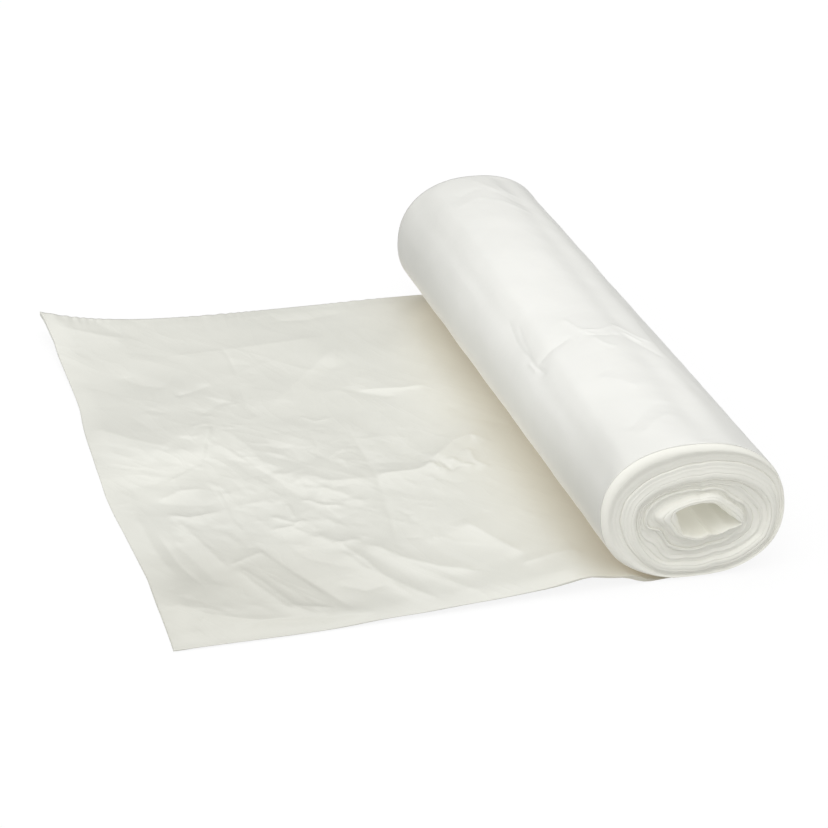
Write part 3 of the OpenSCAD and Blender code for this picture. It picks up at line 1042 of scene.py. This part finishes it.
class BAGROLL_OT_studio(bpy.types.Operator):
    """Set up the white floor, the soft lights and the camera"""

    bl_idname = "bag_roll.studio"
    bl_label = "Studio"
    bl_options = {"REGISTER", "UNDO"}

    def execute(self, context):
        *_, studio = settings()
        scene = context.scene
        scene.view_settings.view_transform = "Standard"

        mesh = bpy.data.meshes.new("floor")
        size = 3.0
        corners = [(-size, -size, 0), (size, -size, 0), (size, size, 0), (-size, size, 0)]
        mesh.from_pydata(corners, [], [(0, 1, 2, 3)])
        floor = bpy.data.objects.new("floor", mesh)
        floor.location.z = -0.00005
        scene.collection.objects.link(floor)
        material = bpy.data.materials.new("White floor")
        material.use_nodes = True
        nodes, links = material.node_tree.nodes, material.node_tree.links
        shader = nodes["Principled BSDF"]
        shader.inputs["Base Color"].default_value = (0.9, 0.9, 0.9, 1.0)
        shader.inputs["Roughness"].default_value = 0.9
        glow = nodes.new("ShaderNodeEmission")
        glow.inputs["Strength"].default_value = 1.0
        lift = nodes.new("ShaderNodeMixShader")
        lift.inputs["Fac"].default_value = 0.88
        links.new(shader.outputs["BSDF"], lift.inputs[1])
        links.new(glow.outputs["Emission"], lift.inputs[2])
        path = nodes.new("ShaderNodeLightPath")
        table = nodes.new("ShaderNodeBsdfDiffuse")
        table.inputs["Color"].default_value = (0.55, 0.55, 0.54, 1.0)
        seen = nodes.new("ShaderNodeMixShader")
        links.new(path.outputs["Is Camera Ray"], seen.inputs["Fac"])
        links.new(table.outputs["BSDF"], seen.inputs[1])
        links.new(lift.outputs["Shader"], seen.inputs[2])
        links.new(seen.outputs["Shader"], nodes["Material Output"].inputs["Surface"])
        mesh.materials.append(material)

        world = bpy.data.worlds.new("Studio")
        world.use_nodes = True
        scene.world = world
        nodes, links = world.node_tree.nodes, world.node_tree.links
        sky = nodes["Background"]
        sky.inputs["Color"].default_value = (1.0, 1.0, 1.0, 1.0)
        place = nodes.new("ShaderNodeTexCoord")
        total = None
        for (axis, power), strength in ((SIDE_FILL, studio.front), (OVERHEAD_GLOW, studio.glow)):
            towards = nodes.new("ShaderNodeVectorMath")
            towards.operation = "DOT_PRODUCT"
            towards.inputs[1].default_value = Vector(axis).normalized()
            links.new(place.outputs["Generated"], towards.inputs[0])
            facing = nodes.new("ShaderNodeMath")
            facing.operation = "MAXIMUM"
            facing.inputs[1].default_value = 0.0
            links.new(towards.outputs["Value"], facing.inputs[0])
            lobe = nodes.new("ShaderNodeMath")
            lobe.operation = "POWER"
            lobe.inputs[1].default_value = power
            links.new(facing.outputs["Value"], lobe.inputs[0])
            level = nodes.new("ShaderNodeMath")
            level.operation = "MULTIPLY_ADD"
            level.inputs[1].default_value = strength
            level.inputs[2].default_value = studio.sky
            links.new(lobe.outputs["Value"], level.inputs[0])
            if total:
                links.new(total, level.inputs[2])
            total = level.outputs["Value"]
        links.new(total, sky.inputs["Strength"])
        white = nodes.new("ShaderNodeBackground")
        white.inputs["Color"].default_value = (1.0, 1.0, 1.0, 1.0)
        seen = nodes.new("ShaderNodeLightPath")
        swap = nodes.new("ShaderNodeMixShader")
        links.new(seen.outputs["Is Camera Ray"], swap.inputs["Fac"])
        links.new(sky.outputs["Background"], swap.inputs[1])
        links.new(white.outputs["Background"], swap.inputs[2])
        links.new(swap.outputs["Shader"], nodes["World Output"].inputs["Surface"])

        light = bpy.data.lights.new("back_strip_light", "AREA")
        light.shape = "RECTANGLE"
        light.size, light.size_y = STRIP_SIZE
        light.energy = studio.key_power
        lamp = bpy.data.objects.new("back_strip_light", light)
        lamp.location = STRIP_PLACE
        lamp.rotation_euler = (STRIP_AIM - STRIP_PLACE).to_track_quat("-Z", "Y").to_euler()
        scene.collection.objects.link(lamp)

        yaw, pitch, tilt = (math.radians(a) for a in (CAMERA_YAW, CAMERA_PITCH, CAMERA_ROLL))
        forward = Vector((math.sin(yaw) * math.cos(pitch), math.cos(yaw) * math.cos(pitch), -math.sin(pitch)))
        right = Vector((math.cos(yaw), -math.sin(yaw), 0.0))
        up = right.cross(forward)
        x_axis = right * math.cos(tilt) + up * math.sin(tilt)
        y_axis = -right * math.sin(tilt) + up * math.cos(tilt)
        data = bpy.data.cameras.new("camera")
        data.lens = 96.96
        data.sensor_width = 36.0
        camera = bpy.data.objects.new("camera", data)
        turn = Matrix((x_axis, y_axis, -forward)).transposed().to_4x4()
        camera.matrix_world = Matrix.Translation(CAMERA_PLACE) @ turn
        scene.collection.objects.link(camera)
        scene.camera = camera
        return {"FINISHED"}


class BAGROLL_PT_panel(bpy.types.Panel):
    """Sizes, colours and pieces of the roll of freezer bags"""

    bl_label = "Bag roll"
    bl_idname = "BAGROLL_PT_panel"
    bl_space_type = "VIEW_3D"
    bl_region_type = "UI"
    bl_category = "Bag roll"

    def draw(self, context):
        layout = self.layout
        for group in settings():
            box = layout.box()
            for name in group.__annotations__:
                box.prop(group, name)
        for operator in OPERATORS:
            layout.operator(operator.bl_idname)


GROUPS = {
    "bag_roll_film": BagRollFilm,
    "bag_roll_roll": BagRollRoll,
    "bag_roll_loose": BagRollLooseBag,
    "bag_roll_studio": BagRollStudio,
}
OPERATORS = (BAGROLL_OT_wound_turns, BAGROLL_OT_outer_wrap, BAGROLL_OT_loose_bag, BAGROLL_OT_studio)


def register():
    for name, group in GROUPS.items():
        bpy.utils.register_class(group)
        setattr(bpy.types.Scene, name, bpy.props.PointerProperty(type=group))
    for operator in OPERATORS:
        bpy.utils.register_class(operator)
    bpy.utils.register_class(BAGROLL_PT_panel)


def unregister():
    bpy.utils.unregister_class(BAGROLL_PT_panel)
    for operator in reversed(OPERATORS):
        bpy.utils.unregister_class(operator)
    for name, group in GROUPS.items():
        delattr(bpy.types.Scene, name)
        bpy.utils.unregister_class(group)


def main():
    register()
    bpy.ops.bag_roll.wound_turns()
    bpy.ops.bag_roll.outer_wrap()
    bpy.ops.bag_roll.loose_bag()
    bpy.ops.bag_roll.studio()
    bpy.context.view_layer.update()


if __name__ == "__main__":
    main()
